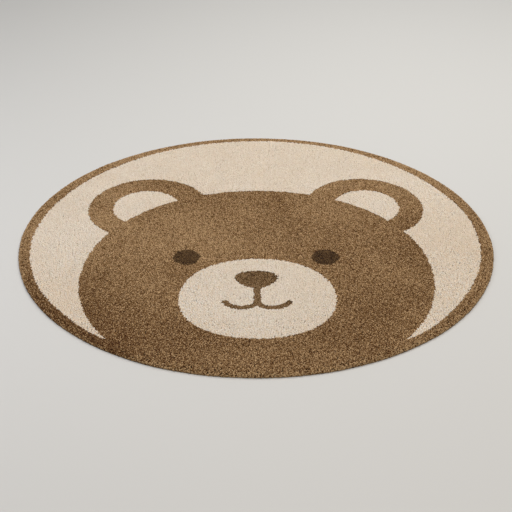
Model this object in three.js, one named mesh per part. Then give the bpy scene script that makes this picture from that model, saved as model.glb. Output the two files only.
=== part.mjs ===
// A round kids rug with a short, dense cut pile, lying flat on the floor.
//
// The rug is one tufted cloth. Its yarn ends are punched through a single ground cloth, so the
// backing and the pile are one flat disc that no seam divides. The colours of the yarn change
// within that one pile without any step, so they are not modelled here. At the rim the outer
// tufts lean over the edge: the side is a soft round roll that starts a little in from the
// floor, bulges, and turns into the level top.
//
// Units are millimetres and +Z is up. The origin is the centre of the underside, and -Y is the
// side from which the pattern is upright.
import * as THREE from "three";

// Driving dimensions
const DIAMETER = 1000;
const BACKING_THICKNESS = 2;
const PILE_HEIGHT = 8;

// The rolled rim, as shares of the rug's thickness
const THICKNESS = BACKING_THICKNESS + PILE_HEIGHT;
const BULGE_HEIGHT = 0.38 * THICKNESS; // where the side stands out furthest
const FOOT_INSET = 0.3 * THICKNESS; // how far the side is drawn in at the floor
const SHOULDER_WIDTH = 0.85 * THICKNESS; // how far in the round shoulder reaches on top

// The hand-trimmed outline wanders from a true circle by about a millimetre. Each row is one
// slow wave round the rim. Even numbers of waves keep opposite sides alike, so the origin
// stays in the middle.
const OUTLINE_WAVES = [
  { waves: 2, height: 0.5, turn: 0.6 },
  { waves: 4, height: 0.4, turn: 2.1 },
  { waves: 10, height: 0.25, turn: 0.9 },
  { waves: 26, height: 0.15, turn: 1.7 },
];

// Mesh fineness
const STEPS_ROUND = 156;
const STEPS_FOOT = 3;
const STEPS_SHOULDER = 6;
const FLAT_RINGS = 4; // rings across the level top and underside

// A quarter of an ellipse round centre, from one angle to the other, both ends included.
function quarter(centre, width, height, from, to, steps) {
  const points = [];
  for (let i = 0; i <= steps; i++) {
    const angle = THREE.MathUtils.lerp(from, to, i / steps);
    points.push(
      new THREE.Vector2(
        centre.x + width * Math.cos(angle),
        centre.y + height * Math.sin(angle),
      ),
    );
  }
  return points;
}

// Points on a level line of the section, strictly between two radii.
function level(from, to, height) {
  const points = [];
  for (let i = 1; i < FLAT_RINGS; i++) {
    const radius = THREE.MathUtils.lerp(from, to, i / FLAT_RINGS);
    points.push(new THREE.Vector2(radius, height));
  }
  return points;
}

// Half of the rug's section, from the axis along the floor, round the rim and back on top.
function section() {
  const radius = DIAMETER / 2;
  const footCentre = new THREE.Vector2(radius - FOOT_INSET, BULGE_HEIGHT);
  const shoulderCentre = new THREE.Vector2(radius - SHOULDER_WIDTH, BULGE_HEIGHT);
  const foot = quarter(footCentre, FOOT_INSET, BULGE_HEIGHT, -Math.PI / 2, 0, STEPS_FOOT);
  const shoulder = quarter(
    shoulderCentre,
    SHOULDER_WIDTH,
    THICKNESS - BULGE_HEIGHT,
    0,
    Math.PI / 2,
    STEPS_SHOULDER,
  );
  return [
    new THREE.Vector2(0, 0),
    ...level(0, radius - FOOT_INSET, 0),
    ...foot,
    ...shoulder.slice(1),
    ...level(radius - SHOULDER_WIDTH, 0, THICKNESS),
    new THREE.Vector2(0, THICKNESS),
  ];
}

// How far the outline stands out from the true circle in this direction.
function outlineAt(angle) {
  return OUTLINE_WAVES.reduce(
    (sum, wave) => sum + wave.height * Math.cos(wave.waves * angle + wave.turn),
    0,
  );
}

// The section turned about the Z axis, with its rings pushed to the uneven outline.
function rugGeometry() {
  const geometry = new THREE.LatheGeometry(section(), STEPS_ROUND);
  geometry.rotateX(Math.PI / 2);
  const places = geometry.getAttribute("position");
  for (let i = 0; i < places.count; i++) {
    const x = places.getX(i);
    const y = places.getY(i);
    const stretch = 1 + outlineAt(Math.atan2(y, x)) / (DIAMETER / 2);
    places.setXY(i, x * stretch, y * stretch);
  }
  geometry.computeVertexNormals();
  return geometry;
}

// Short matt yarn of the rug's main colour
function pileMaterial() {
  return new THREE.MeshStandardMaterial({
    name: "pile",
    color: 0x7f6146,
    roughness: 1,
    metalness: 0,
  });
}

const rug = new THREE.Mesh(rugGeometry(), pileMaterial());
rug.name = "rug";

const part = new THREE.Group();
part.name = "kids_rug";
part.add(rug);

export default part;
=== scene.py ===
import math

import bpy
import numpy as np
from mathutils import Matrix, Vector


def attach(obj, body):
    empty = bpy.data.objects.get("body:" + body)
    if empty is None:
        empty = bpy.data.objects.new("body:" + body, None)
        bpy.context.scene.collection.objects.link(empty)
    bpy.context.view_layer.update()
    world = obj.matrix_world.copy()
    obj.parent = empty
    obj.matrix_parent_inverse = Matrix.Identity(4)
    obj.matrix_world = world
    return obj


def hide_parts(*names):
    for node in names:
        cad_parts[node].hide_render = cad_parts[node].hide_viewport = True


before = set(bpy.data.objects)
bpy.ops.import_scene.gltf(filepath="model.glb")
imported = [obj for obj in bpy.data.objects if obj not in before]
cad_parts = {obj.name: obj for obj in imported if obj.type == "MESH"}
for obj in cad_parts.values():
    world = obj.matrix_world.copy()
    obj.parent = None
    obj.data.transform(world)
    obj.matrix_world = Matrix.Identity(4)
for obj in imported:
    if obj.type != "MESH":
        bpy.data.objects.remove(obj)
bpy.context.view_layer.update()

# Lengths are in millimetres, and become metres where a mesh is made. Angles are in degrees,
# but a wave's turn and a yarn end's twist are in radians. Spreads are standard deviations.
MM = 0.001
SEED = 7

# The rug, as its solid has it
DIAMETER = 1000
BACKING_THICKNESS = 2
PILE_HEIGHT = 8
OUTLINE_WAVES = [
    {"waves": 2, "height": 0.5, "turn": 0.6},
    {"waves": 4, "height": 0.4, "turn": 2.1},
    {"waves": 10, "height": 0.25, "turn": 0.9},
    {"waves": 26, "height": 0.15, "turn": 1.7},
]

# The tufting: rows of an eighth of an inch, as fine rugs have, and the stitches along a row
ROW_SPACING = 3.2
STITCH_SPACING = 2.8
STITCH_WANDER = 0.33  # how far a stitch strays, as a share of the spacing
SIDES = 3  # corners of a yarn end's section
ROOT_RADIUS = 0.9
SHOULDER_RADIUS = 2.9  # where the cut end has opened, wide enough to close up with the next
SHOULDER_AT = 0.88  # share of the yarn end's length
SHOULDER_TWIST = 0.5  # from the root's section to the shoulder's
ROOT_DEPTH = 0.4  # how far a yarn end starts inside the ground cloth
LENGTH_SPREAD = 0.02  # share by which the yarn ends differ in length
WIDTH_SPREAD = 0.1  # and in width
LEAN_SPREAD = 4  # each yarn end's own lean

# Where the pile has been brushed, with the light and shade of its nap painted into its tone.
# Brushed towards +Y, away from the viewer, it leans that way and is painted lighter, and brushed
# the other way it is painted darker. away is how hard, and each patch fades out over its reach.
# The painted tone gives nearly all of the effect, and the yarn ends' lean the rest.
BRUSHED_AND_SHADED = [
    {"x": -395, "y": 15, "reach": 115, "away": 20},
    {"x": -130, "y": 0, "reach": 135, "away": 15},
    {"x": -290, "y": 200, "reach": 60, "away": 9},
    {"x": -330, "y": 90, "reach": 50, "away": 5},
    {"x": 230, "y": 130, "reach": 170, "away": 8},
    {"x": 20, "y": 110, "reach": 110, "away": -4},
    {"x": -365, "y": 350, "reach": 130, "away": 6},
    {"x": 350, "y": 265, "reach": 110, "away": 10},
    {"x": 150, "y": 240, "reach": 50, "away": 10},
    {"x": -400, "y": -200, "reach": 70, "away": -12},
    {"x": -25, "y": -260, "reach": 90, "away": 20},
    {"x": 465, "y": -100, "reach": 115, "away": -12},
    {"x": 415, "y": 30, "reach": 90, "away": -20},
    {"x": -350, "y": -300, "reach": 90, "away": -16},
    {"x": 175, "y": -345, "reach": 80, "away": -11},
    {"x": -110, "y": -365, "reach": 65, "away": -16},
    {"x": -275, "y": -410, "reach": 65, "away": -22},
    {"x": 230, "y": 0, "reach": 85, "away": -7},
    {"x": 295, "y": -260, "reach": 55, "away": -6},
]
BRUSHED_LEAN = 0.15  # degrees of lean for each step of away
PAINTED_NAP_LIGHT = 0.0135  # how much lighter the tone is painted, as nap light and shade, for each step of away

# Painted light and shade in the tone of the border and of the rim's own rows, in some
# directions from the rug's middle: painted lighter at the back and the right, and painted
# darker, as shade, at the left and front left. Each fades out to either side, over about as
# many degrees as over says.
BORDER_PAINTED_LIGHT = [
    {"angle": 88, "over": 72, "border": 0.26, "rim": 0.22},
    {"angle": -135, "over": 30, "border": -0.09, "rim": -0.24},
    {"angle": -10, "over": 20, "border": 0.27, "rim": 0.2},
    {"angle": 180, "over": 14, "border": -0.04, "rim": -0.02},
]

# The rim. The field of tufts ends a little inside the cloth's edge, and rows of their own go
# round the rim, each leaning further out than the last, so that pile covers the side. Their
# tone is painted lighter, against the shade that falls on their sides and undersides, by as
# much as each row's painted light says. inset is from the pile's outline, and depth is below
# the top of the ground cloth.
FIELD_INSET = 9.4
SHOULDER_WIDTH = 12  # over which the field starts to lean outwards
SHOULDER_LEAN = 22
RIM_SPACING = 2.5
RIM_WANDER = 0.4  # how far a stitch strays along the rim, as a share of the spacing
RIM_INSET_SPREAD = 0.3
RIM_LEAN_SPREAD = 5
RIM_ASIDE_SPREAD = 0.16  # how far a yarn end leans to one side of straight out, in radians
RIM_ROWS = [
    {"inset": 8.8, "depth": 0.4, "lean": 34, "length": 8.2, "painted_light": 0.12},
    {"inset": 7.6, "depth": 0.5, "lean": 54, "length": 7.6, "painted_light": 0.2},
    {"inset": 6.8, "depth": 0.7, "lean": 74, "length": 6.9, "painted_light": 0.35},
    {"inset": 6.4, "depth": 1.1, "lean": 93, "length": 5.6, "painted_light": 0.5},
]
CLOTH_INSET = 6  # from the pile's outline to the edge of the ground cloth

# The pattern, from the rug's middle, with +Y towards the top of the face
BORDER_WIDTH = 27
BORDER_WAVE = {"waves": 3, "height": 4.5, "turn": 1.83}  # how the border's inner edge wanders
BORDER_SWELLS = [  # where it is wider or narrower than that
    {"angle": -130, "wider": -5, "over": 8},
    {"angle": -49, "wider": -5, "over": 8},
    {"angle": -27, "wider": 4, "over": 14},
    {"angle": 13, "wider": -2.5, "over": 10},
    {"angle": 120, "wider": -2, "over": 12},
]
# A fullness of 2 gives a true oval, more gives a squarer one, and less a more pointed one.
HEAD = {"x": 2, "y": -153, "half_width": 359, "half_height": 371}
HEAD_FULLNESS = 2.05
HEAD_LEAN = 0.006  # how far its top lies to the right, as a share of the height
OUTER_EARS = [
    {"x": -238.5, "y": 138.5, "half_width": 131, "half_height": 136},
    {"x": 240, "y": 142, "half_width": 129, "half_height": 135},
]
EAR_LEAN = 0.03  # how far the tops of the outer ears lean in
INNER_EARS = [
    {"x": -242, "y": 138.5, "half_width": 73, "half_height": 78},
    {"x": 243, "y": 142, "half_width": 73, "half_height": 78},
]
MUZZLE = {"x": 3, "y": -234, "half_width": 156, "half_height": 148}
MUZZLE_FULLNESS = 2.13
MUZZLE_SINK = 5  # how far its widest level lies below its middle
EYES = {"x": 144, "y": -78, "half_width": 28, "half_height": 31}
NOSE = {"x": 0.5, "y": -163, "half_width": 43.5, "top": 30, "bottom": 38}
NOSE_TOP_FULLNESS = 2.5
NOSE_POINT_FULLNESS = 1.35
LINE_WIDTH = 14
MOUTH_X = 2.5
LIP_Y = -266  # where the line under the nose meets the mouth
SMILE = {"x": 31, "y": -237, "radius": 36, "from": -158, "to": -27}

# The camera, as it stood for the photograph. It looks along +Y and down.
VIEW_HEIGHT = 30.33  # the angle above the floor
VIEW_DISTANCE = 2902
VIEW_TARGET = (0.1, -57.9, 0)
LENS = 97.55
SENSOR = 36

random = np.random.default_rng(SEED)


def linear(hex_colour):
    """An sRGB hex colour as linear RGBA."""
    shares = [int(hex_colour[i : i + 2], 16) / 255 for i in (1, 3, 5)]
    return (*(s / 12.92 if s <= 0.04045 else ((s + 0.055) / 1.055) ** 2.4 for s in shares), 1)


def add_node(tree, kind, inputs=None, **settings):
    """Adds a node. settings are its own properties, and inputs maps a socket to its value or
    to the socket that feeds it."""
    node = tree.nodes.new(kind)
    for name, value in settings.items():
        setattr(node, name, value)
    for socket, value in (inputs or {}).items():
        if isinstance(value, bpy.types.NodeSocket):
            tree.links.new(value, node.inputs[socket])
        else:
            node.inputs[socket].default_value = value
    return node


def new_material(name):
    """An empty material and its node tree."""
    material = bpy.data.materials.new(name)
    material.use_nodes = True
    material.node_tree.nodes.clear()
    return material, material.node_tree


# Polypropylene yarn, heat-set, tufted and cut. The fibres are matt and scatter light at their
# ends, so the pile has no gloss but a faint bloom towards the light. The yarn is heathered:
# its strands are spun from darker and lighter fibres, so no two yarn ends match. Down at the
# roots the colour is painted shade, as if the light had passed between many strands: painted
# warmer, and in the brown yarns darker too.
# soaks_in is the share of the light that soaks into the fibre: the pale cream yarn lets it
# out again close by, which softens its small shadows, and the dark dyes swallow it.
YARNS = {
    "polypropylene_pile_brown": {
        "root": "#522b02",
        "dark": "#401e00",
        "middle": "#775529",
        "light": "#ba9a71",
        "soaks_in": 0,
    },
    "polypropylene_pile_cream": {
        "root": "#e5ccab",
        "dark": "#d8c1a6",
        "middle": "#ddc9b2",
        "light": "#e8d8c4",
        "soaks_in": 0.5,
    },
    "polypropylene_pile_umber": {
        "root": "#3f2100",
        "dark": "#2a1400",
        "middle": "#5b3f14",
        "light": "#967957",
        "soaks_in": 0,
    },
    "polypropylene_pile_dark_brown": {
        "root": "#2a1200",
        "dark": "#200e00",
        "middle": "#3f270b",
        "light": "#684f30",
        "soaks_in": 0,
    },
}
LIGHT_REACH = 3  # how far the light that soaks into a yarn end spreads, red light furthest
STRAND_WIDTH = 1.8  # real strands are finer, and these are as coarse as they need to show
STRAND_LENGTH = 3
STRAND_RELIEF = 0.2
ROOT_SHADE_TO = 0.1  # share of the height up to which all is the root's painted shade
OWN_COLOUR_FROM = 0.9  # and from which all is the yarn end's own
MIDDLE_TONE = 0.5  # on a scale from 0, the darkest of a colour's yarn, to 1, the lightest
HEATHER = 4.2  # how far the strands of one yarn end differ in tone
TONE_SPREAD = 0.2  # how far the yarn ends differ from each other
TONE_DRIFT = 0.03  # how far the tone drifts from place to place
DRIFT_LENGTH = 160
DRIFT_WAVES = 9
DRIFT_LENGTHS = (0.7, 1.6)  # the shortest and the longest wave, as shares of that length


def yarn_material(name, yarn):
    """Cut pile of one yarn colour. The attribute tone picks each yarn end's own shade, with
    painted light and shade in it, and the attribute height leads from the root's painted
    shade to that shade."""
    material, tree = new_material(name)
    place = add_node(tree, "ShaderNodeTexCoord")
    fine, along = 1 / (STRAND_WIDTH * MM), 1 / (STRAND_LENGTH * MM)
    stretched = add_node(
        tree,
        "ShaderNodeMapping",
        {"Vector": place.outputs["Object"], "Scale": (fine, fine, along)},
    )
    strands = add_node(
        tree, "ShaderNodeTexNoise", {"Vector": stretched.outputs[0], "Scale": 1, "Detail": 1}
    )
    heather = add_node(
        tree,
        "ShaderNodeMapRange",
        {"Value": strands.outputs["Fac"], "To Min": -HEATHER / 2, "To Max": HEATHER / 2},
    )
    tone = add_node(tree, "ShaderNodeAttribute", attribute_name="tone")
    mixed_tone = add_node(
        tree,
        "ShaderNodeMath",
        {0: tone.outputs["Fac"], 1: heather.outputs["Result"]},
        operation="ADD",
    )
    shade = add_node(tree, "ShaderNodeValToRGB", {"Fac": mixed_tone.outputs[0]})
    ramp = shade.color_ramp
    ramp.elements[0].color = linear(yarn["dark"])
    ramp.elements[1].color = linear(yarn["light"])
    ramp.elements.new(MIDDLE_TONE).color = linear(yarn["middle"])

    height = add_node(tree, "ShaderNodeAttribute", attribute_name="height")
    out_of_root_shade = add_node(
        tree,
        "ShaderNodeMapRange",
        {
            "Value": height.outputs["Fac"],
            "From Min": ROOT_SHADE_TO,
            "From Max": OWN_COLOUR_FROM,
        },
        interpolation_type="SMOOTHSTEP",
    )
    # the roots' colour is painted shade, which fades out up the yarn end
    colour = add_node(
        tree,
        "ShaderNodeMix",
        {
            "Factor": out_of_root_shade.outputs["Result"],
            "A": linear(yarn["root"]),
            "B": shade.outputs["Color"],
        },
        data_type="RGBA",
    )
    bump = add_node(
        tree,
        "ShaderNodeBump",
        {"Height": strands.outputs["Fac"], "Strength": 0.35, "Distance": STRAND_RELIEF * MM},
    )
    surface = add_node(
        tree,
        "ShaderNodeBsdfPrincipled",
        {
            "Base Color": colour.outputs["Result"],
            "Normal": bump.outputs["Normal"],
            "Roughness": 0.92,
            "IOR": 1.49,
            "Specular IOR Level": 0.25,
            "Sheen Weight": 0.15,
            "Sheen Roughness": 0.5,
            "Sheen Tint": linear(yarn["light"]),
            "Subsurface Weight": yarn["soaks_in"],
            "Subsurface Radius": (1, 0.8, 0.6),
            "Subsurface Scale": LIGHT_REACH * MM,
        },
    )
    add_node(tree, "ShaderNodeOutputMaterial", {"Surface": surface.outputs["BSDF"]})
    return material


# The ground cloth's weave
THREAD_SPACING = 1.6
THREAD_RELIEF = 0.5
BLOTCH_SIZE = 16.7  # of the slightly darker and lighter places in the jute
GAP_COLOUR = "#8b7858"
THREAD_COLOUR = "#c9b794"
THREAD_COLOUR_FROM = 0.45  # weave times blotches, past which all is the thread's colour
WAVE_TURN = 20  # radians by which Blender's wave texture turns over 1 m, at a scale of 1


def backing_material():
    """Plain-woven jute ground cloth, sized with latex: a dull, dry, even weave of slightly
    uneven threads."""
    material, tree = new_material("woven_jute")
    place = add_node(tree, "ShaderNodeTexCoord")
    scale = 2 * math.pi / (WAVE_TURN * THREAD_SPACING * MM)
    threads = []
    for direction in ("X", "Y"):
        threads.append(
            add_node(
                tree,
                "ShaderNodeTexWave",
                {
                    "Vector": place.outputs["Object"],
                    "Scale": scale,
                    "Distortion": 0.6,
                    "Detail": 1,
                    "Detail Scale": 0.2,
                },
                bands_direction=direction,
            )
        )
    weave = add_node(
        tree,
        "ShaderNodeMath",
        {0: threads[0].outputs["Fac"], 1: threads[1].outputs["Fac"]},
        operation="MULTIPLY",
    )
    blotches = add_node(
        tree,
        "ShaderNodeTexNoise",
        {"Vector": place.outputs["Object"], "Scale": 1 / (BLOTCH_SIZE * MM), "Detail": 4},
    )
    mixed = add_node(
        tree,
        "ShaderNodeMath",
        {0: weave.outputs[0], 1: blotches.outputs["Fac"]},
        operation="MULTIPLY",
    )
    shade = add_node(tree, "ShaderNodeValToRGB", {"Fac": mixed.outputs[0]})
    gap, thread = shade.color_ramp.elements
    gap.color = linear(GAP_COLOUR)
    thread.color = linear(THREAD_COLOUR)
    thread.position = THREAD_COLOUR_FROM
    bump = add_node(
        tree,
        "ShaderNodeBump",
        {"Height": weave.outputs[0], "Strength": 0.6, "Distance": THREAD_RELIEF * MM},
    )
    surface = add_node(
        tree,
        "ShaderNodeBsdfPrincipled",
        {
            "Base Color": shade.outputs["Color"],
            "Normal": bump.outputs["Normal"],
            "Roughness": 0.85,
            "IOR": 1.5,
        },
    )
    add_node(tree, "ShaderNodeOutputMaterial", {"Surface": surface.outputs["BSDF"]})
    return material


def outline_radius(angle):
    """The pile's outline, which wanders a little from a true circle."""
    waves = (w["height"] * np.cos(w["waves"] * angle + w["turn"]) for w in OUTLINE_WAVES)
    return DIAMETER / 2 + sum(waves)


def tone_drift(x, y):
    """How much lighter the pile is from place to place: a few long waves in random directions,
    scaled so that their sum has a spread of TONE_DRIFT."""
    headings = random.uniform(0, 2 * math.pi, DRIFT_WAVES)
    turns = 2 * math.pi / (DRIFT_LENGTH * random.uniform(*DRIFT_LENGTHS, DRIFT_WAVES))
    starts = random.uniform(0, 2 * math.pi, DRIFT_WAVES)
    total = sum(
        np.cos(turn * (x * math.cos(heading) + y * math.sin(heading)) + start)
        for heading, turn, start in zip(headings, turns, starts)
    )
    return TONE_DRIFT * total * math.sqrt(2 / DRIFT_WAVES)


def in_oval(x, y, shape, fullness=2, lean=0, sink=0):
    """An ellipse at a fullness of 2, and squarer above that. Its top leans to the right, and
    its widest level lies lower than its middle."""
    right, up = x - shape["x"], y - shape["y"] + sink
    height = shape["half_height"] + np.where(up > 0, sink, -sink)
    across = np.abs(right - lean * up) / shape["half_width"]
    return across**fullness + (np.abs(up) / height) ** fullness < 1


def in_nose(x, y):
    """A rounded triangle with its point down, wide and shallow on top."""
    above = y > NOSE["y"]
    reach = np.where(above, NOSE["top"], NOSE["bottom"])
    fullness = np.where(above, NOSE_TOP_FULLNESS, NOSE_POINT_FULLNESS)
    up = np.abs(y - NOSE["y"]) / reach
    return (np.abs(x - NOSE["x"]) / NOSE["half_width"]) ** 2 + up**fullness < 1


def in_mouth(x, y):
    """The line under the nose and the two arcs of the smile, all drawn with round ends."""
    half = LINE_WIDTH / 2
    side = np.abs(x - MOUTH_X)
    stem = (side < half) & (y < NOSE["y"]) & (y > LIP_Y)
    across, up = side - SMILE["x"], y - SMILE["y"]
    angle = np.degrees(np.arctan2(up, across))
    on_arc = (angle > SMILE["from"]) & (angle < SMILE["to"])
    arc = on_arc & (np.abs(np.hypot(across, up) - SMILE["radius"]) < half)
    for end in (SMILE["from"], SMILE["to"]):
        end_x = SMILE["radius"] * math.cos(math.radians(end))
        end_y = SMILE["radius"] * math.sin(math.radians(end))
        arc |= np.hypot(across - end_x, up - end_y) < half
    return stem | arc


# What each area of the pile is, in the order in which the areas lie over each other
AREAS = [
    {"name": "pile_ground", "yarn": "polypropylene_pile_cream", "slot": "pile_cream"},
    {"name": "pile_ears", "yarn": "polypropylene_pile_brown", "slot": "pile_brown"},
    {"name": "pile_inner_ears", "yarn": "polypropylene_pile_cream", "slot": "pile_cream"},
    {"name": "pile_head", "yarn": "polypropylene_pile_brown", "slot": "pile_brown"},
    {"name": "pile_muzzle", "yarn": "polypropylene_pile_cream", "slot": "pile_cream"},
    {"name": "pile_eyes", "yarn": "polypropylene_pile_dark_brown", "slot": "pile_dark"},
    {"name": "pile_nose_and_mouth", "yarn": "polypropylene_pile_umber", "slot": "pile_umber"},
    {"name": "pile_border", "yarn": "polypropylene_pile_brown", "slot": "pile_brown"},
]
FULLER = {"pile_muzzle": 1.08}  # where the yarn ends are wider and close up more


def border_width(angle):
    """The border's width in this direction from the rug's middle."""
    wave = np.cos(BORDER_WAVE["waves"] * angle + BORDER_WAVE["turn"])
    width = BORDER_WIDTH - BORDER_WAVE["height"] * wave
    for swell in BORDER_SWELLS:
        past = (np.degrees(angle) - swell["angle"]) / swell["over"]
        width = width + swell["wider"] * np.exp(-(past**2))
    return width


def area_of(x, y):
    """For each place, the number of its area in AREAS."""
    inside = {
        "pile_ground": np.full(x.shape, True),
        "pile_ears": in_oval(x, y, OUTER_EARS[0], lean=EAR_LEAN)
        | in_oval(x, y, OUTER_EARS[1], lean=-EAR_LEAN),
        "pile_inner_ears": in_oval(x, y, INNER_EARS[0]) | in_oval(x, y, INNER_EARS[1]),
        "pile_head": in_oval(x, y, HEAD, HEAD_FULLNESS, HEAD_LEAN),
        "pile_muzzle": in_oval(x, y, MUZZLE, MUZZLE_FULLNESS, sink=MUZZLE_SINK),
        "pile_eyes": in_oval(np.abs(x), y, EYES),
        "pile_nose_and_mouth": in_nose(x, y) | in_mouth(x, y),
    }
    angle = np.arctan2(y, x)
    from_rim = outline_radius(angle) - np.hypot(x, y)
    inside["pile_border"] = from_rim < border_width(angle)
    area = np.zeros(x.shape, int)
    for number, row in enumerate(AREAS):
        area[inside[row["name"]]] = number
    return area


def stitches():
    """Where the tufts of the field are rooted."""
    reach = DIAMETER / 2
    rows = np.arange(-reach, reach, ROW_SPACING)
    along = np.arange(-reach, reach, STITCH_SPACING)
    x, y = (g.ravel() for g in np.meshgrid(rows, along))
    odd_row = (np.round((x + reach) / ROW_SPACING) % 2) * STITCH_SPACING / 2
    x = x + random.uniform(-1, 1, x.size) * STITCH_WANDER * ROW_SPACING
    y = y + odd_row + random.uniform(-1, 1, x.size) * STITCH_WANDER * STITCH_SPACING
    kept = np.hypot(x, y) < outline_radius(np.arctan2(y, x)) - FIELD_INSET
    return x[kept], y[kept]


def brushed_and_shaded(x, y):
    """How hard the pile is brushed away from the viewer, which also sets how much nap light and
    shade is painted into its tone.
    """
    away = np.zeros(x.shape)
    for patch in BRUSHED_AND_SHADED:
        distance = np.hypot(x - patch["x"], y - patch["y"])
        away += patch["away"] * np.exp(-((distance / patch["reach"]) ** 2))
    return away


def painted_light_towards(angle, part):
    """The painted light or shade of the border or the rim in this direction from the middle."""
    painted_light = np.zeros(angle.shape)
    for row in BORDER_PAINTED_LIGHT:
        past = (np.degrees(angle) - row["angle"] + 180) % 360 - 180
        painted_light += row[part] * np.exp(-((past / row["over"]) ** 2))
    return painted_light


def field_tufts():
    """The tufts of the whole field, as a dict of arrays."""
    x, y = stitches()
    count = x.size
    angle = np.arctan2(y, x)
    from_rim = outline_radius(angle) - np.hypot(x, y)
    outwards = np.clip((FIELD_INSET + SHOULDER_WIDTH - from_rim) / SHOULDER_WIDTH, 0, 1) ** 2
    lean = random.normal(0, np.tan(np.radians(LEAN_SPREAD)), (count, 2))
    lean[:, 1] += np.tan(np.radians(BRUSHED_LEAN * brushed_and_shaded(x, y)))
    radial = np.stack([np.cos(angle), np.sin(angle)], 1)
    push = outwards * np.tan(np.radians(SHOULDER_LEAN))
    lean = lean * (1 - outwards[:, None]) + radial * push[:, None]
    toward = np.concatenate([lean, np.ones((count, 1))], 1)
    toward /= np.linalg.norm(toward, axis=1, keepdims=True)
    length = (PILE_HEIGHT + ROOT_DEPTH) * (1 + random.normal(0, LENGTH_SPREAD, count))
    return {
        "root": np.stack([x, y, np.full(count, BACKING_THICKNESS - ROOT_DEPTH)], 1),
        "toward": toward,
        "length": length,
        # the border's painted light and shade, by direction
        "painted_light": np.where(from_rim < BORDER_WIDTH, painted_light_towards(angle, "border"), 0),
    }


def rim_tufts():
    """The rows of tufts round the rim, as a dict of arrays."""
    roots, towards, lengths, painted_light = [], [], [], []
    count = round(math.pi * DIAMETER / RIM_SPACING)
    for row in RIM_ROWS:
        wander = random.uniform(-RIM_WANDER, RIM_WANDER, count)
        angle = (np.arange(count) + wander) * 2 * math.pi / count
        inset = row["inset"] - random.normal(0, RIM_INSET_SPREAD, count)
        radius = outline_radius(angle) - inset
        height = np.full(count, BACKING_THICKNESS - row["depth"])
        roots.append(np.stack([radius * np.cos(angle), radius * np.sin(angle), height], 1))
        lean = np.radians(row["lean"] + random.normal(0, RIM_LEAN_SPREAD, count))
        aside = angle + random.normal(0, RIM_ASIDE_SPREAD, count)
        out = np.sin(lean)
        towards.append(np.stack([out * np.cos(aside), out * np.sin(aside), np.cos(lean)], 1))
        lengths.append(row["length"] * (1 + random.normal(0, LENGTH_SPREAD, count)))
        # each rim row's painted light, and the rim's painted light and shade by direction
        painted_light.append(row["painted_light"] + painted_light_towards(angle, "rim"))
    return {
        "root": np.concatenate(roots),
        "toward": np.concatenate(towards),
        "length": np.concatenate(lengths),
        "painted_light": np.concatenate(painted_light),
    }


def tone_of(x, y, painted_light):
    """Each yarn end's tone from 0, dark, to 1, light, with painted light and shade added to it."""
    own = random.normal(0, TONE_SPREAD, x.size)
    drift = tone_drift(x, y)
    # the nap's light and shade, painted into the tone
    painted_nap_light = PAINTED_NAP_LIGHT * brushed_and_shaded(x, y)
    return np.clip(MIDDLE_TONE + own + drift + painted_light + painted_nap_light, 0, 1)


def all_tufts():
    """Field and rim together, with each tuft's area, tone and width."""
    parts = [field_tufts(), rim_tufts()]
    tufts = {key: np.concatenate([p[key] for p in parts]) for key in parts[0]}
    x, y, _ = tufts["root"].T
    tufts["area"] = area_of(x, y)
    tufts["tone"] = tone_of(x, y, tufts["painted_light"])
    fuller = np.array([FULLER.get(row["name"], 1) for row in AREAS])
    tufts["width"] = fuller[tufts["area"]] + random.normal(0, WIDTH_SPREAD, x.size)
    tufts["twist"] = random.uniform(0, 2 * math.pi, x.size)
    return tufts


NEARLY_UPRIGHT = 0.9  # the share of a direction that points up, past which X serves as its side


def ring(tufts, share, radius, twist=0.0):
    """The corners of every tuft's section at this share of its length. A tuft bends over: it
    starts out halfway between upright and its own lean."""
    up = np.array([0, 0, 1.0])
    toward = tufts["toward"]
    start = toward + up
    start /= np.linalg.norm(start, axis=1, keepdims=True)
    length = tufts["length"][:, None]
    middle = tufts["root"] + length * (share * (1 - share) * start + share**2 * toward)
    upright = np.abs(toward[:, 2:]) > NEARLY_UPRIGHT
    side = np.cross(toward, np.where(upright, [1.0, 0, 0], up))
    side /= np.linalg.norm(side, axis=1, keepdims=True)
    other = np.cross(toward, side)
    angle = tufts["twist"][:, None] + twist + np.arange(SIDES) * 2 * math.pi / SIDES
    reach = (radius * tufts["width"])[:, None, None]
    around = np.cos(angle)[:, :, None] * side[:, None] + np.sin(angle)[:, :, None] * other[:, None]
    return middle[:, None] + reach * around


# A tuft's own square of the map, from 0 to 1: its underside, then its sides from root to tip
MAP_UNDERSIDE_TO = 0.1
MAP_SIDES_FROM = 0.15
MAP_MARGIN = 0.1  # round each square, as a share of it


def tuft_faces():
    """The triangles of one tuft, by corner: the root ring, then the shoulder ring and the tip.
    Each corner also has its place on the tuft's own square of the map."""
    tip = 2 * SIDES
    faces, places = [], []
    low, high = MAP_SIDES_FROM, SHOULDER_AT
    for i in range(SIDES):
        j = (i + 1) % SIDES
        left, right, middle = i / SIDES, (i + 1) / SIDES, (i + 0.5) / SIDES
        faces += [(i, j, SIDES + j), (i, SIDES + j, SIDES + i), (SIDES + i, SIDES + j, tip)]
        places += [
            ((left, low), (right, low), (right, high)),
            ((left, low), (right, high), (left, high)),
            ((left, high), (right, high), (middle, 1)),
        ]
    faces.append(tuple(reversed(range(SIDES))))
    places.append(((1, 0), (0.5, MAP_UNDERSIDE_TO), (0, 0)))
    return np.array(faces), np.array(places)


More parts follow.
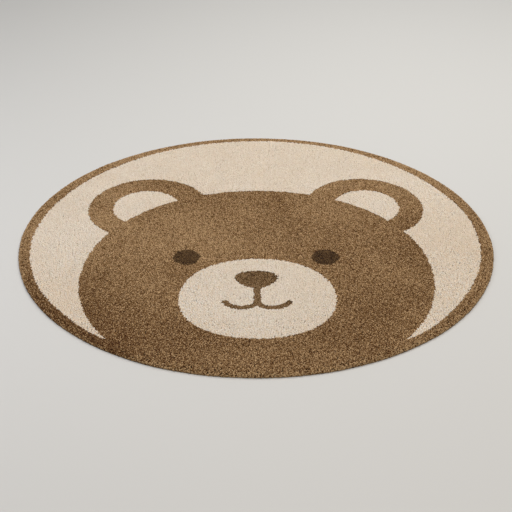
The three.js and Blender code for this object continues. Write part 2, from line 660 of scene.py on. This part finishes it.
def pile_mesh(name, tufts):
    """One mesh of all these tufts, with each tuft's tone, the height along it, and a map on
    which each tuft has a square of its own, in the order of their tones."""
    order = np.argsort(tufts["tone"], kind="stable")
    tufts = {key: value[order] for key, value in tufts.items()}
    count = order.size
    tip = ring(tufts, 1.0, 0.0)[:, :1]
    root = ring(tufts, 0.0, ROOT_RADIUS)
    shoulder = ring(tufts, SHOULDER_AT, SHOULDER_RADIUS, SHOULDER_TWIST)
    points = np.concatenate([root, shoulder, tip], 1) * MM
    points[:, :, 2] = np.maximum(points[:, :, 2], 0)  # yarn ends at the rim stop at the floor
    corners = points.shape[1]
    faces, places = tuft_faces()
    all_faces = (np.arange(count)[:, None, None] * corners + faces).reshape(-1)

    mesh = bpy.data.meshes.new(name)
    mesh.vertices.add(count * corners)
    mesh.vertices.foreach_set("co", points.astype(np.float32).ravel())
    mesh.loops.add(all_faces.size)
    mesh.loops.foreach_set("vertex_index", all_faces.astype(np.int32))
    mesh.polygons.add(all_faces.size // 3)
    mesh.polygons.foreach_set("loop_start", np.arange(0, all_faces.size, 3, dtype=np.int32))
    mesh.polygons.foreach_set("use_smooth", np.full(all_faces.size // 3, True))

    heights = np.array([0.0] * SIDES + [SHOULDER_AT] * SIDES + [1.0])
    tone = mesh.attributes.new("tone", "FLOAT", "POINT")
    tone.data.foreach_set("value", np.repeat(tufts["tone"], corners).astype(np.float32))
    height = mesh.attributes.new("height", "FLOAT", "POINT")
    height.data.foreach_set("value", np.tile(heights, count).astype(np.float32))

    across = math.ceil(math.sqrt(count))
    number = np.arange(count)
    line, column = number // across, number % across
    column = np.where(line % 2, across - 1 - column, column)  # back and forth
    corner = np.stack([column, line], 1)[:, None, None]
    on_map = (corner + MAP_MARGIN + (1 - 2 * MAP_MARGIN) * places) / across
    layer = mesh.uv_layers.new(name="OFBake")
    layer.uv.foreach_set("vector", on_map.astype(np.float32).ravel())
    mesh.update(calc_edges=True)
    return mesh


def add_piece(name, mesh, material):
    """Puts a piece of the rug in the scene, on the rug's one body."""
    piece = bpy.data.objects.new(name, mesh)
    bpy.context.scene.collection.objects.link(piece)
    mesh.materials.append(material)
    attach(piece, "root")
    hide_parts("rug")
    return piece


MOST_TUFTS = 15000  # in one piece, past which an area is parted into a left and a right half


def make_pile():
    """A piece for each area, or two where one would be too heavy."""
    tufts = all_tufts()
    yarns = {name: yarn_material(name, yarn) for name, yarn in YARNS.items()}
    pieces = []
    for number, row in enumerate(AREAS):
        here = tufts["area"] == number
        halves = {"": here}
        if here.sum() > MOST_TUFTS:
            on_left = tufts["root"][:, 0] < 0
            halves = {"_left": here & on_left, "_right": here & ~on_left}
        for ending, chosen in halves.items():
            name = row["name"] + ending
            mesh = pile_mesh(name, {key: value[chosen] for key, value in tufts.items()})
            pieces.append(add_piece(name, mesh, yarns[row["yarn"]]))
    return pieces


CLOTH_STEPS_ROUND = 256
CLOTH_EDGE_STEPS = 4
CLOTH_RINGS = 6


def ground_cloth():
    """The woven cloth under the pile, a thin closed disc with a slightly rounded edge."""
    half = BACKING_THICKNESS / 2
    inner = DIAMETER / 2 - CLOTH_INSET - half
    bottom = [(inner * i / CLOTH_RINGS, 0) for i in range(1, CLOTH_RINGS)]
    edge = []
    for i in range(CLOTH_EDGE_STEPS + 1):
        angle = -math.pi / 2 + math.pi * i / CLOTH_EDGE_STEPS
        edge.append((inner + half * math.cos(angle), half + half * math.sin(angle)))
    top = [(r, BACKING_THICKNESS) for r, _ in reversed(bottom)]
    section = bottom + edge + top
    angle = np.arange(CLOTH_STEPS_ROUND) * 2 * math.pi / CLOTH_STEPS_ROUND
    swell = outline_radius(angle) / (DIAMETER / 2)
    points = [(0, 0, 0)]
    for radius, height in section:
        x, y = radius * swell * np.cos(angle), radius * swell * np.sin(angle)
        points += [(a * MM, b * MM, height * MM) for a, b in zip(x, y)]
    points.append((0, 0, BACKING_THICKNESS * MM))
    steps, last = CLOTH_STEPS_ROUND, len(points) - 1
    faces = []
    for j in range(steps):
        k = (j + 1) % steps
        faces.append((0, 1 + k, 1 + j))
        for i in range(len(section) - 1):
            low, high = 1 + i * steps, 1 + (i + 1) * steps
            faces.append((low + j, low + k, high + k, high + j))
        rim = 1 + (len(section) - 1) * steps
        faces.append((rim + j, rim + k, last))
    mesh = bpy.data.meshes.new("ground_cloth")
    mesh.from_pydata(points, [], faces)
    mesh.shade_smooth()
    return add_piece("ground_cloth", mesh, backing_material())


FLOOR_REACH = 6000  # from the rug's middle to each edge of the floor
FLOOR_DEPTH = 0.3  # below the rug's underside, so that the two don't share a plane


def floor():
    """A plain floor, painted a pale warm grey: even and matt, with no pattern and no shine."""
    half, height = FLOOR_REACH * MM, -FLOOR_DEPTH * MM
    corners = [(-half, -half), (half, -half), (half, half), (-half, half)]
    mesh = bpy.data.meshes.new("floor")
    mesh.from_pydata([(x, y, height) for x, y in corners], [], [(0, 1, 2, 3)])
    material, tree = new_material("painted_floor")
    surface = add_node(
        tree,
        "ShaderNodeBsdfPrincipled",
        {"Base Color": linear("#cac8c2"), "Roughness": 0.8, "Specular IOR Level": 0.2},
    )
    add_node(tree, "ShaderNodeOutputMaterial", {"Surface": surface.outputs["BSDF"]})
    mesh.materials.append(material)
    plane = bpy.data.objects.new("floor", mesh)
    bpy.context.scene.collection.objects.link(plane)


# Soft studio light from square panels that face straight down: behind the rug, at its left,
# where it is a little cooler, and in front, where it is a little warmer. Here places and sides
# are in metres, and powers in watts.
LAMPS = [
    {"name": "back", "place": (0.58, 1.07, 1.8), "side": 1.7, "power": 28.5, "hue": "#fefeff"},
    {"name": "left", "place": (-1.55, -0.11, 1.6), "side": 0.8, "power": 16.5, "hue": "#eff3ff"},
    {"name": "front", "place": (0.5, -1.32, 2.54), "side": 1.8, "power": 39.6, "hue": "#fffbf8"},
]
SKY_STRENGTH = 0.262
SKY_HUE = "#fcfcff"


def lights():
    """The lamps, and a dim even light from all round."""
    for row in LAMPS:
        lamp = bpy.data.lights.new(row["name"], "AREA")
        lamp.size = row["side"]
        lamp.energy = row["power"]
        lamp.color = linear(row["hue"])[:3]
        panel = bpy.data.objects.new(row["name"], lamp)
        panel.location = row["place"]
        bpy.context.scene.collection.objects.link(panel)
    world = bpy.data.worlds.new("studio")
    world.use_nodes = True
    sky = world.node_tree.nodes["Background"]
    sky.inputs["Color"].default_value = linear(SKY_HUE)
    sky.inputs["Strength"].default_value = SKY_STRENGTH
    bpy.context.scene.world = world


def camera():
    """The photograph's view, from in front of the rug."""
    height = math.radians(VIEW_HEIGHT)
    target = Vector(VIEW_TARGET) * MM
    back = Vector((0, -math.cos(height), math.sin(height)))
    data = bpy.data.cameras.new("camera")
    data.lens = LENS
    data.sensor_width = SENSOR
    eye = bpy.data.objects.new("camera", data)
    eye.location = target + back * VIEW_DISTANCE * MM
    eye.rotation_euler = (-back).to_track_quat("-Z", "Y").to_euler()
    bpy.context.scene.collection.objects.link(eye)
    bpy.context.scene.camera = eye


camera()
lights()
floor()
pile = make_pile()
cloth = ground_cloth()
bpy.context.scene.view_settings.view_transform = "Standard"
bpy.context.scene.cycles.denoising_prefilter = "NONE"  # keeps the pile's grain sharp
